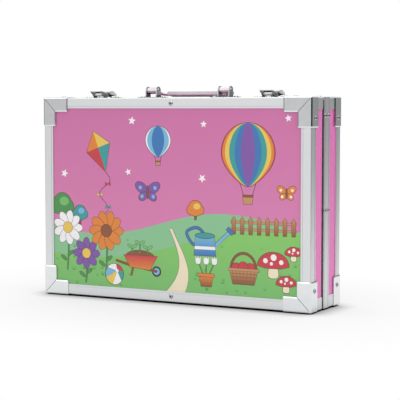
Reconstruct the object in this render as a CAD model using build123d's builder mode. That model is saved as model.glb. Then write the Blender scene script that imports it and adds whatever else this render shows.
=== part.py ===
from build123d import *

import os
from collections import namedtuple
from math import cos, radians, sin

# A children's art case, in millimetres: two shells of laminated board in aluminium extrusions, hinged
# along the bottom, with a handle and two draw latches on top.
# The case stands on its hinge side. X runs along its width, Y from the printed front face (-Y) to the
# back and Z up, with the origin on the floor under the middle of the case. "Depth" is measured from the
# front of the frame towards the back, "height" above the top of the frame, and "inset" from the frame's
# outer surface inwards.

# Case, over the aluminium frame
case_width = 400.0
case_height = 268.0
case_depth = 92.0
seam_front = 35.0
seam_gap = 4.5

# Boards and the extrusions that hold them
leg_thickness = 1.0
board_thickness = 3.0
board_clearance = 0.1
edge_leg = 14.0
edge_lip = 12.0
edge_radius = 1.2
groove_width = 0.8
groove_depth = 0.3
groove_edge = 2.2
mitre_gap = 0.06
post_leg = 15.5
post_gap = 0.1
tongue_thickness = 1.4
tongue_root = 15.0
tongue_reach = 8.0
tongue_clearance = 0.4
cap_cover = 2.3
cap_thickness = 1.1
seam_band = 17.5
seam_web = 5.4
ledge_width = 3.4
ledge_thickness = 1.0
ledge_setback = 3.5

# Folded corner brackets
bracket_sheet = 1.0
bracket_leg = 38.0
bracket_flap = 18.5
bracket_flange = 20.0
bracket_bend = 1.8
bracket_slit = 0.6
flap_round = 1.6
flange_round = 2.5
flap_bevel_width = 1.5
flap_bevel_depth = 0.4

# Blind rivets
rivet_head_radius = 3.1
rivet_head_height = 1.4
rivet_low_head = 0.7
rivet_crown_radius = 1.6
rivet_rim_height = 0.2
rivet_dome_bulge = 0.2
rivet_shank_radius = 1.55
rivet_play = 0.05
rivet_bulb_radius = 2.1
rivet_bulb_length = 1.5
rivet_bulb_taper = 0.45
rivet_dimple_radius = 1.05
rivet_dimple_depth = 0.6
bracket_rivet_inset = 26.0
bracket_rivet_depth = 10.0
face_rivet_inset = 7.5
seam_rivet_high = 23.0
seam_rivet_low = 143.0
seam_rivet_front = 3.2
seam_rivet_back = 4.0

# Trays
tray_sheet = 1.6
tray_clearance = 0.3
tray_margin = 5.0
tray_corner = 8.0
tray_divider = 3.0
pocket_corner = 4.0
front_floor_room = 5.3
rear_floor_room = 6.4
rib_height = 4.0
rib_width = 1.6
rib_pitch = 11.0
rib_end_gap = 6.0
front_row_1 = 92.0
front_row_2 = 34.0
rear_row_1 = 104.0
rear_row_2 = 30.0

# Hinges
hinge_inset = 82.0
hinge_width = 56.0
hinge_sheet = 1.0
hinge_front_leaf = 15.0
hinge_rear_leaf = 16.0
hinge_knuckles = 5
knuckle_radius = 1.7
knuckle_gap = 0.3
hinge_pin_radius = 0.9
hinge_pin_play = 0.05
hinge_axis_drop = 0.5
hinge_rivet_spacing = 38.0
hinge_rivet_setback = 8.5

# Latches
latch_inset = 72.0
latch_sheet = 1.2
latch_base_width = 42.0
latch_base_length = 19.0
latch_base_setback = 0.5
latch_corner = 3.0
latch_rivet_spacing = 33.0
latch_width = 16.8
latch_side_play = 0.2
latch_ear_radius = 2.8
latch_ear_base = 8.4
latch_ear_lean = 1.4
latch_pivot_setback = 2.8
latch_pivot_height = 4.6
latch_pivot_radius = 1.2
latch_pivot_play = 0.06
latch_pivot_head = 0.5
lever_pivot_wall = 1.4
lever_claw_wall = 1.3
latch_crank = 5.0
latch_crank_dip = 7.0
latch_tab_start = 9.7
latch_tab_start_rise = 2.2
latch_tab_reach = 14.0
latch_tab_rise = 4.2
claw_pin_radius = 1.0
claw_pin_play = 0.06
claw_eye_radius = 1.9
claw_width = 20.4
claw_neck_width = 13.2
claw_neck_end = 4.0
claw_pivot_gap = 0.6
claw_neck_run = 1.7
claw_neck_dip = 0.4
claw_pivot_run = 2.6
claw_pivot_rise = 0.1
claw_hump_start = 1.0
claw_hump_end = 7.3
claw_hump = 9.0
claw_tail_reach = 5.8
claw_tail_rise = 1.5
claw_bend = 0.9
claw_hook_gap = 0.4
claw_hook_reach = 5.2
claw_hook_height = 3.4
claw_cheek_gap = 1.2
claw_cheek_rise = 5.6
keeper_sheet = 1.0
keeper_width = 40.0
keeper_length = 15.5
keeper_lip_width = 13.0
keeper_lip_height = 5.2
keeper_lip_round = 2.0
keeper_rivet_spacing = 31.0

# Handle
handle_spacing = 110.0
foot_length = 42.0
foot_breadth = 15.0
foot_corner = 4.0
foot_sheet = 1.2
foot_rivet_spacing = 32.0
foot_ear_gap = 14.6
foot_ear_sheet = 1.5
foot_ear_radius = 5.5
foot_ear_base = 12.0
handle_pin_height = 9.8
handle_pin_radius = 2.0
handle_pin_play = 0.06
handle_pin_head = 0.8
handle_pin_head_radius = 3.2
handle_boss_radius = 4.4
handle_boss_play = 0.3
handle_droop = 9.5
bail_radius = 2.4
bail_reach = 26.5
bail_bend = 8.0
grip_length = 88.0
grip_breadth = 15.0
grip_thickness = 5.6
grip_edge = 1.4
grip_end_round = 1.2
grip_play = 0.06

# Places that follow from the sizes above
foot_gap = bracket_sheet + rivet_head_height
bottom_z = foot_gap
top_z = foot_gap + case_height
middle_z = foot_gap + case_height / 2
seam_back = seam_front + seam_gap
board_outside = leg_thickness + board_clearance
board_inside = board_outside + board_thickness
lip_outside = board_inside + 2 * board_clearance
frame_inside = lip_outside + leg_thickness
board_start = frame_inside + 2 * board_clearance
wall_end_inset = lip_outside + board_clearance
post_core = lip_outside - 2 * board_clearance
tongue_outside = board_inside + board_clearance
tongue_inside = tongue_outside + tongue_thickness
tongue_end = seam_front + tongue_reach
web_front = seam_back + seam_web
seam_end = seam_back + seam_band
front_ledge = seam_front - ledge_setback
band_middle = seam_back + seam_band / 2
front_mouth = front_ledge + ledge_thickness + tray_sheet
rear_mouth = web_front - tray_sheet
front_tray_depth = front_mouth - frame_inside - front_floor_room
rear_tray_depth = case_depth - frame_inside - rear_floor_room - rear_mouth
hinge_spacing = case_width - 2 * hinge_inset
latch_spacing = case_width - 2 * latch_inset
hinge_depth = (seam_front + seam_back) / 2
hinge_axis_z = bottom_z - hinge_axis_drop
hinge_front_rivet = seam_front - hinge_rivet_setback
latch_base_depth = seam_front - latch_base_setback - latch_base_length / 2
latch_pivot_depth = seam_front - latch_pivot_setback
claw_pin_depth = latch_pivot_depth - latch_crank * cos(radians(latch_crank_dip))
claw_pin_height = latch_pivot_height - latch_crank * sin(radians(latch_crank_dip))
handle_arm_turn = radians(handle_droop)


def y_at(depth):
    """The Y of a depth behind the front of the frame."""
    return depth - case_depth / 2


def over_top(depth, height):
    """A point of a section across X, from its depth and its height above the frame."""
    return (y_at(depth), top_z + height)


# The four sides: the middle of the front outer edge, the way inwards, the way along, and the length.
Side = namedtuple("Side", "middle inward along length")
SIDES = {
    "top": Side(Vector(0, y_at(0), top_z), Vector(0, 0, -1), Vector(1, 0, 0), case_width),
    "bottom": Side(Vector(0, y_at(0), bottom_z), Vector(0, 0, 1), Vector(-1, 0, 0), case_width),
    "left": Side(Vector(-case_width / 2, y_at(0), middle_z), Vector(1, 0, 0), Vector(0, 0, 1), case_height),
    "right": Side(Vector(case_width / 2, y_at(0), middle_z), Vector(-1, 0, 0), Vector(0, 0, -1), case_height),
}
CORNERS = {
    "top_left": (-1, 1),
    "top_right": (1, 1),
    "bottom_left": (-1, -1),
    "bottom_right": (1, -1),
}
Rivet = namedtuple("Rivet", "seat grip head")


def section_plane(side):
    """The plane across a side, with X as the inset and Y as the depth."""
    return Plane(origin=side.middle, x_dir=side.inward, z_dir=side.along)


def side_rivet(side_name, place, depth, outside, inside, head=rivet_head_height):
    """A rivet through one side, at a place along X or Z from its middle, from one inset to another."""
    side = SIDES[side_name]
    run = Vector(1, 0, 0) if side_name in ("top", "bottom") else Vector(0, 0, 1)
    start = side.middle + run * place + Vector(0, depth, 0) + side.inward * outside
    return Rivet(Plane(origin=start, z_dir=side.inward), inside - outside, head)


def face_rivets(front):
    """The rivets at mid-width that hold the face panel in the top and bottom extrusions."""
    way = 1 if front else -1
    found = []
    for rise in (-1, 1):
        height = middle_z + rise * (case_height / 2 - face_rivet_inset)
        start = Vector(0, -way * case_depth / 2, height)
        found.append(Rivet(Plane(origin=start, z_dir=Vector(0, way, 0)), frame_inside, rivet_head_height))
    return found


def bracket_rivets(side_name, depth):
    """The two corner bracket rivets of one side."""
    reach = SIDES[side_name].length / 2 - bracket_rivet_inset
    return [side_rivet(side_name, way * reach, depth, -bracket_sheet, frame_inside) for way in (-1, 1)]


def paired_rivets(side_name, spacing, pitch, depth, outside, inside, head=rivet_head_height):
    """Two rivets in each of two fittings that stand a spacing apart along X."""
    found = []
    for centre in (-spacing / 2, spacing / 2):
        for way in (-1, 1):
            found.append(side_rivet(side_name, centre + way * pitch / 2, depth, outside, inside, head))
    return found


def front_shell_rivets():
    """Every rivet of the front shell, by the side that it goes through."""
    found = {name: bracket_rivets(name, bracket_rivet_depth) for name in SIDES}
    found["face"] = face_rivets(True)
    found["top"] += paired_rivets(
        "top", latch_spacing, latch_rivet_spacing, latch_base_depth,
        board_outside - latch_sheet, tongue_inside,
    )
    found["bottom"] += paired_rivets(
        "bottom", hinge_spacing, hinge_rivet_spacing, hinge_front_rivet,
        board_outside - hinge_sheet, tongue_inside, rivet_low_head,
    )
    return found


def rear_shell_rivets():
    """Every rivet of the rear shell, by the side that it goes through."""
    found = {name: bracket_rivets(name, case_depth - bracket_rivet_depth) for name in SIDES}
    found["face"] = face_rivets(False)
    found["top"] += paired_rivets(
        "top", latch_spacing, keeper_rivet_spacing, band_middle, -keeper_sheet, frame_inside
    )
    found["top"] += paired_rivets(
        "top", handle_spacing, foot_rivet_spacing, band_middle, -foot_sheet, frame_inside
    )
    found["bottom"] += paired_rivets(
        "bottom", hinge_spacing, hinge_rivet_spacing, band_middle, -hinge_sheet, frame_inside, rivet_low_head
    )
    for side_name in ("left", "right"):
        for drop in (seam_rivet_high, seam_rivet_low):
            place = case_height / 2 - drop
            back = seam_end - seam_rivet_back
            front = seam_back + seam_rivet_front
            found[side_name].append(side_rivet(side_name, place, back, 0, frame_inside))
            found[side_name].append(side_rivet(side_name, place, front, 0, leg_thickness))
    return found


RIVETS = {"front": front_shell_rivets(), "rear": rear_shell_rivets()}


def drill(rivets):
    """Cuts the holes of some rivets through the part that is being built."""
    for rivet in rivets:
        with Locations(rivet.seat):
            Cylinder(
                rivet_shank_radius + rivet_play,
                rivet.grip + rivet_bulb_length,
                align=(Align.CENTER, Align.CENTER, Align.MIN),
                mode=Mode.SUBTRACT,
            )


def rivet_solid(rivet):
    """One blind rivet: a dimpled low dome, its shank, and the bulb on the blind side."""
    top = -rivet.head
    blind = rivet.grip + rivet_bulb_length
    with BuildPart() as pin:
        with BuildSketch(Plane.XZ):
            with BuildLine():
                Polyline(
                    (0, top + rivet_dimple_depth),
                    (rivet_dimple_radius, top + rivet_dimple_depth),
                    (rivet_dimple_radius, top),
                    (rivet_crown_radius, top),
                )
                SagittaArc(
                    (rivet_crown_radius, top), (rivet_head_radius, -rivet_rim_height), -rivet_dome_bulge
                )
                Polyline(
                    (rivet_head_radius, -rivet_rim_height),
                    (rivet_head_radius, 0),
                    (rivet_shank_radius, 0),
                    (rivet_shank_radius, rivet.grip),
                    (rivet_bulb_radius, rivet.grip + rivet_play),
                    (rivet_bulb_radius, blind - rivet_bulb_taper),
                    (rivet_dimple_radius, blind),
                    (0, blind),
                    (0, top + rivet_dimple_depth),
                )
            make_face()
        revolve(axis=Axis.Z)
    return pin.part.moved(rivet.seat.location)


def rivet_group(shell):
    """All the rivets of one shell."""
    solids = [rivet_solid(rivet) for rivets in RIVETS[shell].values() for rivet in rivets]
    with BuildPart() as group:
        add(solids)
    return group


def mitred_bar(side_name, outline, rivets, rounded=None):
    """A frame bar: an outline of insets and depths run along one side and mitred at both ends."""
    side = SIDES[side_name]
    with BuildPart() as bar:
        with BuildSketch(section_plane(side)) as section:
            with BuildLine():
                Polyline(*outline, close=True)
            make_face()
            if rounded:
                fillet(section.vertices().sort_by_distance(rounded)[0], edge_radius)
        extrude(amount=side.length / 2, both=True)
        for way in (1, -1):
            end = side.middle + side.along * way * (side.length / 2 - mitre_gap)
            split(bisect_by=Plane(origin=end, z_dir=side.along * way + side.inward), keep=Keep.BOTTOM)
        drill(rivets)
    return bar


def groove(start):
    """The four corners of a groove in an outer surface, as distances along it and into it."""
    end = start + groove_width
    return [(start, 0), (start, groove_depth), (end, groove_depth), (end, 0)]


def edge_bar(side_name, shell):
    """The corner extrusion along a face edge: an outer angle, a solid core, and a lip behind each board."""
    legs = groove(edge_leg - groove_edge - groove_width)
    outline = [
        (0, 0), *legs, (edge_leg, 0), (edge_leg, leg_thickness), (frame_inside, leg_thickness),
        (frame_inside, lip_outside), (edge_lip, lip_outside), (edge_lip, frame_inside),
        (frame_inside, frame_inside), (frame_inside, edge_lip), (lip_outside, edge_lip),
        (lip_outside, frame_inside), (leg_thickness, frame_inside), (leg_thickness, edge_leg), (0, edge_leg),
        *[(inset, depth) for depth, inset in reversed(legs)],
    ]
    rivets = RIVETS[shell][side_name] + RIVETS[shell]["face"]
    if shell == "front":
        return mitred_bar(side_name, outline, rivets, (0, 0))
    outline = [(inset, case_depth - depth) for inset, depth in outline]
    return mitred_bar(side_name, outline, rivets, (0, case_depth))


def tongue_bar(side_name):
    """The front shell's seam bar: a tongue behind the wall, a cap on the wall's end and a tray ledge."""
    cap_start = seam_front + board_clearance
    cap_outside = tongue_outside - cap_cover
    outline = [
        (tongue_outside, seam_front - tongue_root), (tongue_inside, seam_front - tongue_root),
        (tongue_inside, front_ledge), (tongue_inside + ledge_width, front_ledge),
        (tongue_inside + ledge_width, front_ledge + ledge_thickness),
        (tongue_inside, front_ledge + ledge_thickness), (tongue_inside, tongue_end),
        (tongue_outside, tongue_end), (tongue_outside, cap_start + cap_thickness),
        (cap_outside, cap_start + cap_thickness), (cap_outside, cap_start), (tongue_outside, cap_start),
    ]
    return mitred_bar(side_name, outline, RIVETS["front"][side_name])


def band_bar(side_name):
    """The rear shell's seam bar: the outer band, its front lip, a channel for the wall and a tray ledge."""
    lip_end = tongue_outside - tongue_clearance
    channel = web_front + leg_thickness
    grooves = groove(groove_edge) + groove(seam_band - groove_edge - groove_width)
    outline = [
        (0, seam_back), (lip_end, seam_back), (lip_end, seam_back + leg_thickness),
        (leg_thickness, seam_back + leg_thickness), (leg_thickness, web_front),
        (frame_inside + ledge_width, web_front), (frame_inside + ledge_width, channel),
        (frame_inside, channel), (frame_inside, seam_end), (lip_outside, seam_end),
        (lip_outside, channel), (leg_thickness, channel), (leg_thickness, seam_end), (0, seam_end),
        *[(inset, seam_back + place) for place, inset in reversed(grooves)],
    ]
    return mitred_bar(side_name, outline, RIVETS["rear"][side_name])


def wall_board(side_name, shell):
    """One side wall: a laminated board that slides into the extrusions."""
    side = SIDES[side_name]
    start = board_start
    end = seam_front
    if shell == "rear":
        start = web_front + leg_thickness + 2 * board_clearance
        end = case_depth - board_start
    with BuildPart() as board:
        with BuildSketch(section_plane(side)):
            with Locations((board_outside, start)):
                Rectangle(board_thickness, end - start, align=(Align.MIN, Align.MIN))
        extrude(amount=side.length / 2 - wall_end_inset, both=True)
        drill(RIVETS[shell][side_name])
    return board


def face_panel(shell):
    """A face board, held in the channels of the four edge bars."""
    depth = board_outside if shell == "front" else case_depth - board_inside
    with BuildPart() as panel:
        with BuildSketch(Plane.XZ.offset(-y_at(depth))):
            with Locations((0, middle_z)):
                Rectangle(case_width - 2 * board_start, case_height - 2 * board_start)
        extrude(amount=-board_thickness)
        drill(RIVETS[shell]["face"])
    return panel


def corner_posts(shell):
    """The four angles that close a shell's wall corners, between its edge bars and its seam."""
    start, end = edge_leg + post_gap, seam_front - post_gap
    if shell == "rear":
        start, end = seam_end + post_gap, case_depth - edge_leg - post_gap
    outline = [
        (0, 0), (post_leg, 0), (post_leg, leg_thickness), (post_core, leg_thickness), (post_core, post_core),
        (leg_thickness, post_core), (leg_thickness, post_leg), (0, post_leg),
    ]
    with BuildPart() as posts:
        for way_x, way_z in CORNERS.values():
            corner = (way_x * case_width / 2, middle_z + way_z * case_height / 2)
            points = [(corner[0] - way_x * a, corner[1] - way_z * b) for a, b in outline]
            with BuildSketch(Plane.XZ.offset(-y_at(start))) as section:
                with BuildLine():
                    Polyline(*points, close=True)
                make_face()
                fillet(section.vertices().sort_by_distance(corner)[0], edge_radius)
            extrude(amount=start - end)
    return posts


def bracket_blank():
    """The corner bracket at the front, top and right, without its rivet holes."""
    right = case_width / 2
    outer_x = right + bracket_sheet
    outer_z = top_z + bracket_sheet
    front_y = y_at(0)
    back_y = y_at(bracket_flange)
    with BuildPart() as blank:
        with BuildSketch(Plane.XZ.offset(-(front_y - bracket_sheet))):
            with Locations((outer_x, outer_z)):
                Rectangle(
                    bracket_leg + bracket_sheet, bracket_leg + bracket_sheet, align=(Align.MAX, Align.MAX)
                )
        extrude(amount=-(bracket_flange + bracket_sheet))
        corner = (outer_x, front_y - bracket_sheet, outer_z)
        fillet(blank.edges().sort_by(lambda edge: edge.distance_to(Vertex(*corner)))[0:3], bracket_bend)
        with BuildSketch(Plane.XZ.offset(-front_y)):
            with Locations((right, top_z)):
                Rectangle(2 * bracket_leg, 2 * bracket_leg, align=(Align.MAX, Align.MAX))
        extrude(amount=-2 * bracket_flange, mode=Mode.SUBTRACT)
        with BuildSketch(Plane.XZ.offset(-(front_y - 2 * bracket_sheet))):
            with Locations((right - bracket_flap, top_z - bracket_flap)):
                Rectangle(2 * bracket_leg, 2 * bracket_leg, align=(Align.MAX, Align.MAX))
        extrude(amount=-3 * bracket_sheet, mode=Mode.SUBTRACT)
        flap_ends = [
            Vertex(right - bracket_leg, front_y, top_z - bracket_flap),
            Vertex(right - bracket_flap, front_y, top_z - bracket_leg),
        ]
        for tip in flap_ends:
            fillet(blank.edges().filter_by(Axis.Y).sort_by_distance(tip)[0], flap_round)
        fillet(
            blank.edges().filter_by(Axis.Z).sort_by_distance((right - bracket_leg, back_y, top_z))[0],
            flange_round,
        )
        fillet(
            blank.edges().filter_by(Axis.X).sort_by_distance((right, back_y, top_z - bracket_leg))[0],
            flange_round,
        )
        front_face = blank.faces().sort_by(Axis.Y)[0]
        inner_edges = front_face.edges().filter_by(
            lambda edge: edge.center().X < right - bracket_bend and edge.center().Z < top_z - bracket_bend
        )
        chamfer(inner_edges, flap_bevel_width, flap_bevel_depth, reference=front_face)
        reach = bracket_flap + bracket_sheet - bracket_bend
        start = bracket_flap + bracket_sheet
        with BuildSketch(Plane.XZ.offset(-(front_y - 2 * bracket_sheet))):
            with Locations(Location((right - start, top_z - start), 45)):
                Rectangle(reach * 2**0.5, bracket_slit, align=(Align.MIN, Align.CENTER))
        extrude(amount=-3 * bracket_sheet, mode=Mode.SUBTRACT)
    return blank.part


BRACKET_BLANK = bracket_blank()


def corner_bracket(corner, shell):
    """One folded corner bracket, turned to its corner and drilled."""
    way_x, way_z = CORNERS[corner]
    across = "top" if way_z > 0 else "bottom"
    upright = "right" if way_x > 0 else "left"
    with BuildPart() as bracket:
        add(BRACKET_BLANK)
        if way_x < 0:
            mirror(about=Plane.YZ, mode=Mode.REPLACE)
        if way_z < 0:
            mirror(about=Plane.XY.offset(middle_z), mode=Mode.REPLACE)
        if shell == "rear":
            mirror(about=Plane.XZ, mode=Mode.REPLACE)
        drill(RIVETS[shell][across] + RIVETS[shell][upright])
    return bracket


def divided(total, wall, count):
    """The width of each pocket when a number of them share a length."""
    return (total - (count + 1) * wall) / count


def storage_tray(shell):
    """One moulded tray: a rim on the seam bar's ledge, and a tub with dividers and ribbed pockets."""
    front = shell == "front"
    edge = (tongue_inside if front else frame_inside) + tray_clearance
    way = -1 if front else 1
    mouth = front_mouth if front else rear_mouth
    depth = front_tray_depth if front else rear_tray_depth
    rim = (case_width - 2 * edge, case_height - 2 * edge)
    tub = (rim[0] - 2 * tray_margin, rim[1] - 2 * tray_margin)
    top_row = front_row_1 if front else rear_row_1
    middle_row = front_row_2 if front else rear_row_2
    last_row = tub[1] - top_row - middle_row - 4 * tray_divider
    rows = [(top_row, 2, True), (middle_row, 1, False), (last_row, 3, False)]
    if not front:
        rows = [(top_row, 3, False), (middle_row, 1, False), (last_row, 2, True)]
    mouth_plane = Plane(origin=(0, y_at(mouth), middle_z), x_dir=(-way, 0, 0), z_dir=(0, way, 0))
    with BuildPart() as tray:
        with BuildSketch(mouth_plane):
            RectangleRounded(*rim, tray_corner)
        extrude(amount=tray_sheet)
        with BuildSketch(mouth_plane):
            RectangleRounded(*tub, tray_corner)
        extrude(amount=depth)
        level = tub[1] / 2 - tray_divider
        for row_height, columns, ribbed in rows:
            width = divided(tub[0], tray_divider, columns)
            middle = level - row_height / 2
            with BuildSketch(mouth_plane):
                with Locations((0, middle)):
                    with GridLocations(width + tray_divider, 0, columns, 1):
                        RectangleRounded(width, row_height, pocket_corner)
            extrude(amount=depth - tray_sheet, mode=Mode.SUBTRACT)
            if ribbed:
                count = int((width - rib_pitch) / rib_pitch)
                with BuildSketch(mouth_plane.offset(depth - tray_sheet)):
                    with Locations((0, middle)):
                        with GridLocations(width + tray_divider, 0, columns, 1):
                            with GridLocations(rib_pitch, 0, count, 1):
                                Rectangle(rib_width, row_height - 2 * rib_end_gap)
                extrude(amount=-rib_height)
            level -= row_height + tray_divider
    return tray


def hinge_leaves(shell):
    """The two leaves of one shell, each with its share of the knuckles."""
    front = shell == "front"
    way = -1 if front else 1
    align = (Align.CENTER, Align.MAX if front else Align.MIN)
    leaf_z = bottom_z + (board_outside if front else 0) - hinge_sheet
    reach = hinge_front_leaf if front else hinge_rear_leaf
    inner = knuckle_radius + knuckle_gap
    share = hinge_width / hinge_knuckles
    hinge_y = y_at(hinge_depth)
    with BuildPart() as leaves:
        for centre in (-hinge_spacing / 2, hinge_spacing / 2):
            starts = [
                centre - hinge_width / 2 + index * share + knuckle_gap / 2
                for index in range(0 if front else 1, hinge_knuckles, 2)
            ]
            length = share - knuckle_gap
            with BuildSketch(Plane.XY.offset(leaf_z)):
                with Locations((centre, hinge_y + way * inner)):
                    Rectangle(hinge_width, reach - inner, align=align)
                for start in starts:
                    with Locations((start + length / 2, hinge_y)):
                        Rectangle(length, inner + hinge_sheet, align=align)
            extrude(amount=hinge_sheet)
            for start in starts:
                with BuildSketch(Plane.YZ.offset(start)):
                    with Locations((hinge_y, hinge_axis_z)):
                        Circle(knuckle_radius)
                extrude(amount=length)
            with BuildSketch(Plane.YZ.offset(centre - hinge_width / 2)):
                with Locations((hinge_y, hinge_axis_z)):
                    Circle(hinge_pin_radius + hinge_pin_play)
            extrude(amount=hinge_width, mode=Mode.SUBTRACT)
        drill(RIVETS[shell]["bottom"])
    return leaves


def hinge_pins():
    """The two hinge pins."""
    with BuildPart() as pins:
        for centre in (-hinge_spacing / 2, hinge_spacing / 2):
            with BuildSketch(Plane.YZ.offset(centre - hinge_width / 2)):
                with Locations((y_at(hinge_depth), hinge_axis_z)):
                    Circle(hinge_pin_radius)
            extrude(amount=hinge_width)
    return pins


def latch_base(centre):
    """A riveted plate with two ears that carry the lever's pivot."""
    ear_inner = latch_width / 2 + latch_side_play
    with BuildPart() as base:
        with BuildSketch(Plane.XY.offset(top_z - board_outside)):
            with Locations((centre, y_at(latch_base_depth))):
                RectangleRounded(latch_base_width, latch_base_length, latch_corner)
        extrude(amount=latch_sheet)
        for way in (-1, 1):
            with BuildSketch(Plane.YZ.offset(centre + way * ear_inner)):
                with Locations(over_top(latch_pivot_depth, latch_pivot_height)):
                    Circle(latch_ear_radius)
                with Locations(over_top(latch_pivot_depth - latch_ear_lean, -board_outside)):
                    Rectangle(latch_ear_base, latch_sheet, align=(Align.CENTER, Align.MIN))
                make_hull()
            extrude(amount=way * latch_sheet)
        with BuildSketch(Plane.YZ.offset(centre - latch_base_width / 2)):
            with Locations(over_top(latch_pivot_depth, latch_pivot_height)):
                Circle(latch_pivot_radius + latch_pivot_play)
        extrude(amount=latch_base_width, mode=Mode.SUBTRACT)
        drill(RIVETS["front"]["top"])
    return base


def latch_pivots():
    """The headed pins on which the two levers turn."""
    ear_outer = latch_width / 2 + latch_side_play + latch_sheet
    head = ear_outer + latch_pivot_head
    with BuildPart() as pins:
        for centre in (-latch_spacing / 2, latch_spacing / 2):
            with BuildSketch(Plane.YZ.offset(centre - head)):
                with Locations(over_top(latch_pivot_depth, latch_pivot_height)):
                    Circle(latch_pivot_radius)
            extrude(amount=2 * head)
            for way in (-1, 1):
                with BuildSketch(Plane.YZ.offset(centre + way * ear_outer)):
                    with Locations(over_top(latch_pivot_depth, latch_pivot_height)):
                        Circle(latch_pivot_radius + lever_pivot_wall / 2)
                extrude(amount=way * latch_pivot_head)
    return pins


def latch_lever(centre):
    """The over-centre lever: two cheeks, a raised tab to pull, and the pin that carries the claw."""
    half = latch_width / 2
    tab_start = over_top(latch_pivot_depth - latch_tab_start, latch_pivot_height + latch_tab_start_rise)
    tab_end = over_top(latch_pivot_depth - latch_tab_reach, latch_pivot_height + latch_tab_rise)
    with BuildPart() as lever:
        for way in (-1, 1):
            with BuildSketch(Plane.YZ.offset(centre + way * half)):
                with Locations(over_top(latch_pivot_depth, latch_pivot_height)):
                    Circle(latch_pivot_radius + lever_pivot_wall)
                with Locations(over_top(claw_pin_depth, claw_pin_height)):
                    Circle(claw_pin_radius + lever_claw_wall)
                with Locations(tab_start, tab_end):
                    Circle(latch_sheet / 2)
                make_hull()
            extrude(amount=-way * latch_sheet)
        with BuildSketch(Plane.YZ.offset(centre)):
            with BuildLine():
                Line(tab_start, tab_end)
            trace(line_width=latch_sheet)
        extrude(amount=half, both=True)
        with BuildSketch(Plane.YZ.offset(centre)):
            with Locations(over_top(claw_pin_depth, claw_pin_height)):
                Circle(claw_pin_radius)
        extrude(amount=half, both=True)
        with BuildSketch(Plane.YZ.offset(centre)):
            with Locations(over_top(latch_pivot_depth, latch_pivot_height)):
                Circle(latch_pivot_radius + latch_pivot_play)
        extrude(amount=half, both=True, mode=Mode.SUBTRACT)
    return lever


def latch_claw(centre):
    """The claw: an eye on the lever's pin and a bent strap with cheeks that hooks the keeper past the seam."""
    keeper_back = band_middle + keeper_sheet / 2
    hook_inner = keeper_back + claw_hook_gap
    low = latch_pivot_height + latch_pivot_radius + claw_pivot_gap + latch_sheet / 2
    path = [
        over_top(claw_pin_depth, claw_pin_height),
        over_top(claw_pin_depth + claw_neck_run, low - claw_neck_dip),
        over_top(latch_pivot_depth + claw_pivot_run, low + claw_pivot_rise),
        over_top(seam_back + claw_hump_start, claw_hump),
        over_top(seam_back + claw_hump_end, claw_hump),
        over_top(hook_inner + claw_tail_reach, claw_hook_height + claw_tail_rise),
        over_top(hook_inner + claw_hook_reach, claw_hook_height),
        over_top(hook_inner, claw_hook_height),
    ]
    with BuildPart() as claw:
        with BuildSketch(Plane.YZ.offset(centre)):
            with BuildLine():
                FilletPolyline(*path, radius=claw_bend)
            trace(line_width=latch_sheet)
            with Locations(path[0]):
                Circle(claw_eye_radius)
        extrude(amount=claw_width / 2, both=True)
        neck_end = latch_pivot_depth + claw_neck_end
        for way in (-1, 1):
            with BuildSketch(Plane.YZ.offset(centre + way * claw_neck_width / 2)):
                with Locations(over_top(neck_end, 0)):
                    Rectangle(latch_base_length, latch_base_length, align=(Align.MAX, Align.MIN))
            extrude(amount=way * claw_width, mode=Mode.SUBTRACT)
            with BuildSketch(Plane.YZ.offset(centre + way * claw_width / 2)):
                with BuildLine():
                    Polyline(
                        over_top(neck_end + claw_cheek_gap, claw_cheek_rise), path[3], path[4], path[5], path[6],
                        close=True,
                    )
                make_face()
            extrude(amount=-way * latch_sheet)
        with BuildSketch(Plane.YZ.offset(centre)):
            with Locations(path[0]):
                Circle(claw_pin_radius + claw_pin_play)
        extrude(amount=latch_width, both=True, mode=Mode.SUBTRACT)
    return claw


def latch_keepers():
    """The two keeper plates on the seam band, each with an upright lip for the claw."""
    lip_front = band_middle - keeper_sheet / 2
    with BuildPart() as keepers:
        for centre in (-latch_spacing / 2, latch_spacing / 2):
            with BuildSketch(Plane.XY.offset(top_z)):
                with Locations((centre, y_at(band_middle))):
                    RectangleRounded(keeper_width, keeper_length, latch_corner)
            extrude(amount=keeper_sheet)
            with BuildSketch(Plane.XZ.offset(-y_at(lip_front))) as lip:
                with Locations((centre, top_z)):
                    Rectangle(keeper_lip_width, keeper_lip_height, align=(Align.CENTER, Align.MIN))
                fillet(lip.vertices().group_by(Axis.Y)[-1], keeper_lip_round)
            extrude(amount=-keeper_sheet)
        drill(RIVETS["rear"]["top"])
    return keepers


def handle_foot(centre):
    """A riveted foot with two rounded ears for the handle's pin."""
    with BuildPart() as foot:
        with BuildSketch(Plane.XY.offset(top_z)):
            with Locations((centre, y_at(band_middle))):
                RectangleRounded(foot_length, foot_breadth, foot_corner)
        extrude(amount=foot_sheet)
        for way in (-1, 1):
            with BuildSketch(Plane.YZ.offset(centre + way * foot_ear_gap / 2)):
                with Locations(over_top(band_middle, handle_pin_height)):
                    Circle(foot_ear_radius)
                with Locations(over_top(band_middle, 0)):
                    Rectangle(foot_ear_base, foot_sheet, align=(Align.CENTER, Align.MIN))
                make_hull()
            extrude(amount=way * foot_ear_sheet)
        with BuildSketch(Plane.YZ.offset(centre)):
            with Locations(over_top(band_middle, handle_pin_height)):
                Circle(handle_pin_radius)
        extrude(amount=foot_length / 2, both=True, mode=Mode.SUBTRACT)
        drill(RIVETS["rear"]["top"])
    return foot


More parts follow.
